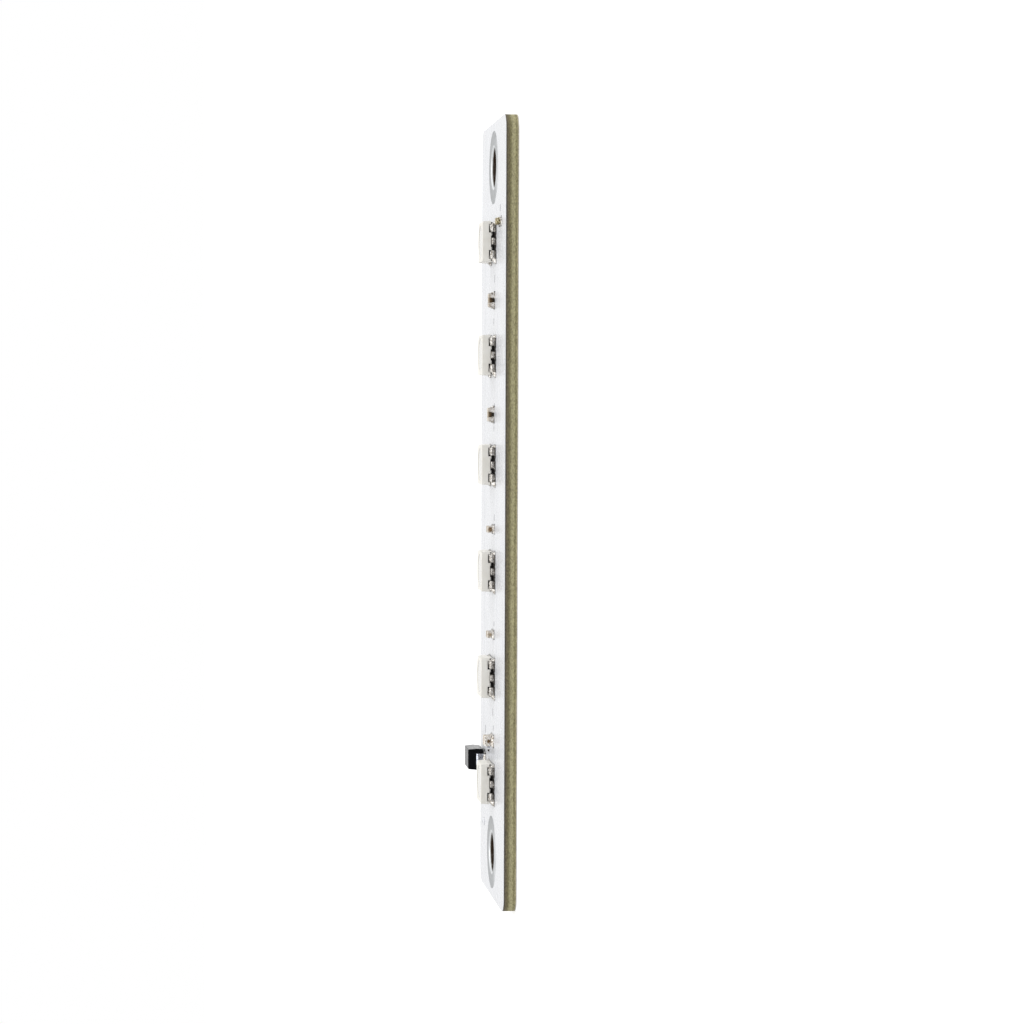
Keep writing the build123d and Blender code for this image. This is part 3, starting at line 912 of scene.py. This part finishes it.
def make_led_joints(number, joint_solder, skin_solder):
    """The six solder joints of one LED, and the solder drawn up its leads."""
    joints, skins = Shape(), Shape()
    half = LEAD_WIDTH / 2
    for side in (-1, 1):
        heel = side * (lead_outer_y - FOOT_LENGTH)
        foot = sorted((side * lead_outer_y, heel))
        land_y = sorted((side * (lead_outer_y + LED_TOE), heel))
        for k in (-1, 0, 1):
            x = led_xs[number] + k * LEAD_PITCH
            reach_low = half + LAND_MARGIN + (OUTER_LAND_REACH if k < 0 else 0)
            reach_high = half + LAND_MARGIN + (OUTER_LAND_REACH if k > 0 else 0)
            land = (x + LAND_OFFSET - reach_low, x + LAND_OFFSET + reach_high, *land_y)
            rise_low = END_RISE if k < 0 else INNER_RISE
            rise_high = END_RISE if k > 0 else INNER_RISE
            rises = (rise_low, rise_high, FACE_RISE, FACE_RISE)
            hollow = 0.7 if k else 1.2
            seed = number * 10 + k * 2 + side
            add_joint(joints, (x - half, x + half, *foot), land, rises, seed, hollow)
            past_low, past_high = SKIN_REACHES[k]
            low_x, high_x = x - half - past_low, x + half + past_high
            seed = number * 12 + k * 2 + side
            add_wetted_face(skins, side, low_x, high_x, SKIN_FOOTS[number - 1], SKIN_TOPS[k], seed)
    piece = joints.piece(f"led_{number}_joints", "solder", joint_solder)
    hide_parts(f"led_{number}_solder")
    skins.piece(f"led_{number}_lead_solder", "solder", skin_solder)


def make_shade_strips(number, material):
    """A dark strip of painted shade under the sides of one LED, between and behind its leads."""
    shape = Shape()
    for side in (-1, 1):
        y = side * (lead_outer_y - 0.17)
        path = [(led_xs[number] - LEAD_ROW_HALF, y), (led_xs[number] + LEAD_ROW_HALF, y)]
        add_ribbon(shape, path, SHADE_STRIP_WIDTH, BOARD_TOP - 0.01, BOARD_TOP + SHADE_STRIP_HEIGHT, 0.08)
    shape.piece(f"led_{number}_flux", "solder", material, smooth=False)


def make_capacitor_joints(number, material):
    """The two solder joints of one capacitor, on the x ends or, where it is turned, the y ends."""
    low, high = box_mm(f"capacitor_{number}_terminals")
    axis = 1 if number in TURNED_CAPACITORS else 0
    cap_end = TERMINAL_SHARE * (high[axis] - low[axis])
    height = high.z - low.z
    shape = Shape()
    for side in (-1, 1):
        outer = high[axis] if side > 0 else low[axis]
        ends = sorted((outer, outer - side * cap_end))
        reach = sorted((outer + side * CHIP_TOE, outer - side * cap_end * 1.3))
        if axis:
            terminal = (low.x, high.x, *ends)
            land = (low.x - LAND_MARGIN, high.x + LAND_MARGIN, *reach)
            shares = (0.22, 0.22, 0.34, 0.34)
        else:
            terminal = (*ends, low.y, high.y)
            land = (*reach, low.y - LAND_MARGIN, high.y + LAND_MARGIN)
            shares = (0.95, 0.95, 0.1, 0.1)
        rises = [share * height for share in shares]
        add_joint(shape, terminal, land, rises, seed=number * 5 + side, hollow=1.0)
    joints = shape.piece(f"capacitor_{number}_joints", "solder", material)
    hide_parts(f"capacitor_{number}_solder")


def make_shade_specks(material):
    """Dark specks of painted shade along the long sides of the capacitors' joints, largest at the corners,
    and a drop of it between the diode and the last LED as the solder bead's painted shadow."""
    shape = Shape()
    add_dome(shape, *BEAD_SHADOW_SPOT, radius=0.16, height=0.2)
    for number in CAPACITORS:
        low, high = box_mm(f"capacitor_{number}_terminals")
        turned = number in TURNED_CAPACITORS
        past_x, past_y = (LAND_MARGIN, CHIP_TOE) if turned else (0.7 * CHIP_TOE, LAND_MARGIN)
        steps = 5 if turned else 8
        for y in (low.y - past_y, high.y + past_y):
            for i in range(steps + 1):
                x = low.x - past_x + (high.x - low.x + 2 * past_x) * i / steps
                chance = noise.noise(Vector((x * 3.0, y * 3.0, 0.5)))
                corner = i in (0, steps)
                if corner or chance > 0:
                    radius = (0.075 if corner else 0.05) + 0.04 * chance
                    add_dome(shape, x + 0.08 * chance, y, radius, 1.3 * radius)
    shape.piece("shade_specks", "solder", material)


def make_diode_joints(material):
    """The two solder joints of the diode."""
    low, high = box_mm("diode_terminals")
    shape = Shape()
    for side in (-1, 1):
        outer = high.y if side > 0 else low.y
        heel = outer - side * DIODE_FOOT_LENGTH
        foot = sorted((outer, heel))
        reach = sorted((outer + side * DIODE_TOE, heel))
        land = (low.x - LAND_MARGIN, high.x + LAND_MARGIN, *reach)
        add_joint(shape, (low.x, high.x, *foot), land, (0.25, 0.25, 0.35, 0.35), seed=90 + side)
    joints = shape.piece("diode_joints", "solder", material)
    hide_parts("diode_solder")


def make_bond_wires(number, material):
    """Gold wires from the driver die to the light-emitting dies and to the lead tabs."""
    x = led_xs[number]
    driver_top = box_mm(f"led_{number}_dies")[1].z
    emitter_top = driver_top - 0.03
    shape = Shape()
    for k in (-1, 0, 1):
        add_bond_wire(shape, (x + k * 0.2, -0.22, driver_top), (x + k * 0.88, -0.98, emitter_top), 0.22)
    for k in (-1, 1):
        add_bond_wire(shape, (x + k * 0.98, -1.08, emitter_top), (x + k * 1.25, -1.3, frame_top), 0.14)
        add_bond_wire(shape, (x + k * 0.24, 0.3, driver_top), (x + k * 1.0, 0.95, frame_top), 0.26)
        add_bond_wire(shape, (x + k * 0.26, 0.05, driver_top), (x + k * 1.15, -0.86, frame_top), 0.24)
    add_bond_wire(shape, (x, 0.4, driver_top), (x, 0.85, frame_top), 0.2)
    shape.piece(f"led_{number}_bond_wires", "led_dies", material)


def make_tracks(material):
    """Copper tracks that show through the resist as low relief."""
    shape = Shape()
    low, high = BOARD_TOP - 0.01, BOARD_TOP + TRACE_HEIGHT
    toe_y = lead_outer_y + LED_TOE
    clear_y = toe_y + TRACE_CLEARANCE
    end = board_high.x - RAIL_END_INSET
    for side in (-1, 1):
        rail = [(end, side * RAIL_Y), (-end, side * RAIL_Y)]
        add_ribbon(shape, rail, RAIL_WIDTH, low, high, 0.05)
    for number in LEDS:
        x = led_xs[number]
        for side in (-1, 1):
            stub = [(x, side * clear_y), (x, side * STUB_END_Y)]
            add_ribbon(shape, stub, STUB_WIDTH, low, high, 0.04)
        if number < LED_COUNT:
            start = x - LEAD_PITCH
            finish = led_xs[number + 1] + LEAD_PITCH
            lane = -toe_y - DATA_LANE_OFFSET
            path = [
                (start, -clear_y),
                (start, lane + DATA_BEND),
                (start - DATA_BEND, lane),
                (finish + DATA_BEND, lane),
                (finish, lane + DATA_BEND),
                (finish, -clear_y),
            ]
            add_ribbon(shape, path, DATA_WIDTH, low, high, 0.04)
    shape.piece("tracks", "board", material, smooth=False)


def make_silkscreen(material):
    """Generic printed strokes: dashes between the components, each with its x, y and length."""
    shape = Shape()
    low, high = BOARD_TOP - 0.005, BOARD_TOP + INK_HEIGHT
    dashes = [
        (28.75, -1.5, 0.95),
        (23.55, -0.8, 0.8),
        (13.2, -1.8, 0.5),
        (10.3, -1.2, 0.7),
        (-0.7, -1.8, 0.85),
        (-13.8, -1.9, 0.6),
        (-24.85, -1.0, 0.95),
        (-26.75, -1.6, 0.6),
        (-27.9, 6.6, 1.0),
        (37.1, -6.9, 0.8),
    ]
    for x, y, length in dashes:
        add_ribbon(shape, [(x - length / 2, y), (x + length / 2, y)], INK_WIDTH, low, high, 0.02)
    shape.piece("silkscreen", "board", material, smooth=False)


# ---- Materials of the CAD nodes --------------------------------------------------------------

bright_solder = solder_material("bright_solder", BRIGHT_SOLDER)
speckled_solder = solder_material("speckled_solder", SPECKLED_SOLDER)
bluish_solder = solder_material("diode_tin", BLUISH_SOLDER)
tinned_copper = tinned_material()

node_materials = {
    "board": board_material(),
    "via": via_material(),
    "component_lands": tinned_copper,
    "wire_pads": tinned_copper,
    "barrel_1": barrel_material("barrel_1"),
    "barrel_2": barrel_material("barrel_2"),
    "diode_body": epoxy_material(),
    "diode_terminals": bluish_solder,
    "solder_bead": bluish_solder,
}

lead_finish, lens_finish, die_finish = lead_material(), lens_material(), die_material()
for number in LEDS:
    node_materials[f"led_{number}_housing"] = housing_material(number)
    node_materials[f"led_{number}_lead_frame"] = lead_finish
    node_materials[f"led_{number}_lens"] = lens_finish
    node_materials[f"led_{number}_dies"] = die_finish

# The capacitors differ in their dip, the grain of it, how far solder wets it and its worn spots.
dips = {5: SPECKLED_DIP, 6: GOLD_DIP}
grains = {5: 4.4, 6: 4.0}
wettings = {5: 0.3, 6: 0.0}
spots = {3: (0.36, SOFT_BROWN), 4: (0.26, PALE_BROWN), 5: (0.29, DARK_BROWN)}
for number in CAPACITORS:
    body, terminals = f"capacitor_{number}_body", f"capacitor_{number}_terminals"
    # The bulk capacitor gets no painted shade low down. The others get it strongly.
    ceramic, low_shade_amount = (PALE_CERAMIC, 0.0) if number == BULK_CAPACITOR else (BROWN_CERAMIC, 0.85)
    node_materials[body] = ceramic_material(body, ceramic, low_shade_amount)
    node_materials[terminals] = cap_terminal_material(
        terminals,
        dips.get(number, BEIGE_DIP),
        grains.get(number, 4.6),
        wettings.get(number, 0.9),
        spots.get(number),
    )

for name, cad_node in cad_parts.items():
    cad_node.data.materials.clear()
    cad_node.data.materials.append(node_materials.get(name, bright_solder))

# ---- Pieces that this script adds ------------------------------------------------------------

painted_shade_sheet = shade_sheet_material()
gold_wire = gold_material()
for number in LEDS:
    make_led_joints(number, joint_material(number), bright_solder)
    make_shade_strips(number, painted_shade_sheet)
    make_bond_wires(number, gold_wire)
for number in CAPACITORS:
    make_capacitor_joints(number, speckled_solder if number == BULK_CAPACITOR else bright_solder)
make_shade_specks(painted_shade_sheet)
make_diode_joints(bright_solder)
make_tracks(resist_material())
make_silkscreen(ink_material())

# ---- Floor, light and camera -----------------------------------------------------------------

FLOOR_DROP = 0.02
FLOOR_HALF = 2500.0
CAMERA_PLACE = (13.699, -327.818, 41.807)
CAMERA_ANGLES = (-0.817, 82.593, -88.422)
CAMERA_LENS = 93.615
CAMERA_SENSOR = 36.0


def lay_floor():
    """A wide floor just under the board."""
    mesh = bpy.data.meshes.new("floor")
    corners = [(-FLOOR_HALF, -FLOOR_HALF), (FLOOR_HALF, -FLOOR_HALF)]
    corners += [(FLOOR_HALF, FLOOR_HALF), (-FLOOR_HALF, FLOOR_HALF)]
    mesh.from_pydata([(x * MM, y * MM, -FLOOR_DROP * MM) for x, y in corners], [], [(0, 1, 2, 3)])
    mesh.materials.append(floor_material())
    floor = bpy.data.objects.new("floor", mesh)
    bpy.context.scene.collection.objects.link(floor)


def soft_world():
    """Even white surroundings with a darker band low in front, so that metal has something to mirror."""
    world = bpy.data.worlds.new("studio")
    world.use_nodes = True
    tree = world.node_tree
    direction = add_node(tree, "TexCoord").outputs["Generated"]
    split = add_node(tree, "SeparateXYZ", {"Vector": direction})
    facing = spread(tree, split.outputs[1], 1.0, 0.0, -0.75, -0.35)
    lowness = spread(tree, split.outputs[2], 1.0, 0.0, 0.12, 0.45)
    tone = blend(tree, product(tree, facing, lowness), WHITE, (0.22, 0.22, 0.23, 1.0))
    lit = add_node(tree, "Background", {"Color": tone, "Strength": 1.0})
    seen = add_node(tree, "Background", {"Color": WHITE, "Strength": 1.0})
    camera_ray = add_node(tree, "LightPath").outputs["Is Camera Ray"]
    mixed = add_node(tree, "MixShader", {"Fac": camera_ray, 1: lit.outputs[0], 2: seen.outputs[0]})
    tree.links.new(mixed.outputs[0], tree.nodes["World Output"].inputs["Surface"])
    bpy.context.scene.world = world


def add_softbox(name, place, size, energy):
    """A square softbox that points at the object. place and size are in metres."""
    data = bpy.data.lights.new(name, "AREA")
    data.shape = "SQUARE"
    data.size = size
    data.energy = energy
    lamp = bpy.data.objects.new(name, data)
    lamp.location = place
    lamp.rotation_euler = Vector(place).to_track_quat("Z", "Y").to_euler()
    bpy.context.scene.collection.objects.link(lamp)


def add_camera():
    """A long lens that looks low across the board from in front, rolled so that it stands upright."""
    data = bpy.data.cameras.new("camera")
    data.sensor_width = CAMERA_SENSOR
    data.lens = CAMERA_LENS
    camera = bpy.data.objects.new("camera", data)
    camera.location = Vector(CAMERA_PLACE) * MM
    camera.rotation_euler = Euler([math.radians(angle) for angle in CAMERA_ANGLES], "XYZ")
    bpy.context.scene.collection.objects.link(camera)
    bpy.context.scene.camera = camera


lay_floor()
soft_world()
add_softbox("softbox", place=(0.15, -0.35, 0.95), size=0.9, energy=3.7)
add_softbox("side_softbox", place=(0.9, -0.05, 0.3), size=0.6, energy=2.6)
add_camera()
bpy.context.scene.view_settings.view_transform = "Standard"
